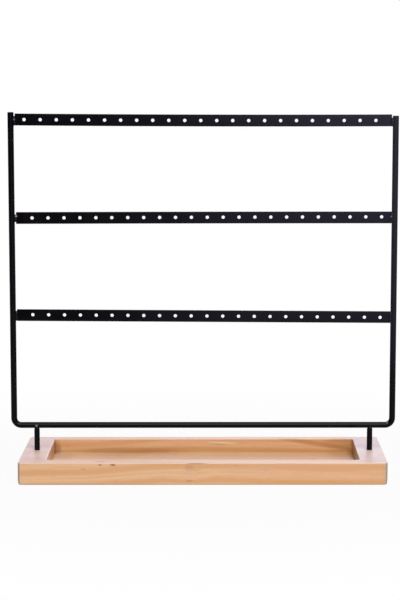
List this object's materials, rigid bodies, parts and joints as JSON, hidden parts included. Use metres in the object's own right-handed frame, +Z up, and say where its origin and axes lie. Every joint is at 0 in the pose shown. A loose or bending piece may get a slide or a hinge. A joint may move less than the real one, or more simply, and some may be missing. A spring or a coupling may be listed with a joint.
{
  "type": "earring display stand",
  "caption": "Tabletop earring stand: light wooden base with a routed tray, and a black bent wire frame that carries perforated bars.",
  "frame": {"origin": "on the surface the stand is put on, under the middle of its bounding box", "axes": "+X along the bars to the right as seen from the front, +Y from the front to the back, +Z up"},
  "size_m": [0.2726, 0.09, 0.2549],
  "materials": {
    "light_wood": "satin lacquer",
    "black_coated_steel": "satin powder coat"
  },
  "bodies": {
    "root": {"wooden_base": "light_wood", "u_frame": "black_coated_steel", "top_bar": "black_coated_steel", "middle_bar": "black_coated_steel", "lower_bar": "black_coated_steel", "left_post": "black_coated_steel", "right_post": "black_coated_steel", "top_left_weld": "black_coated_steel", "top_right_weld": "black_coated_steel", "middle_left_weld": "black_coated_steel", "middle_right_weld": "black_coated_steel", "lower_left_weld": "black_coated_steel", "lower_right_weld": "black_coated_steel", "left_post_weld": "black_coated_steel", "right_post_weld": "black_coated_steel"}
  },
  "joints": []
}
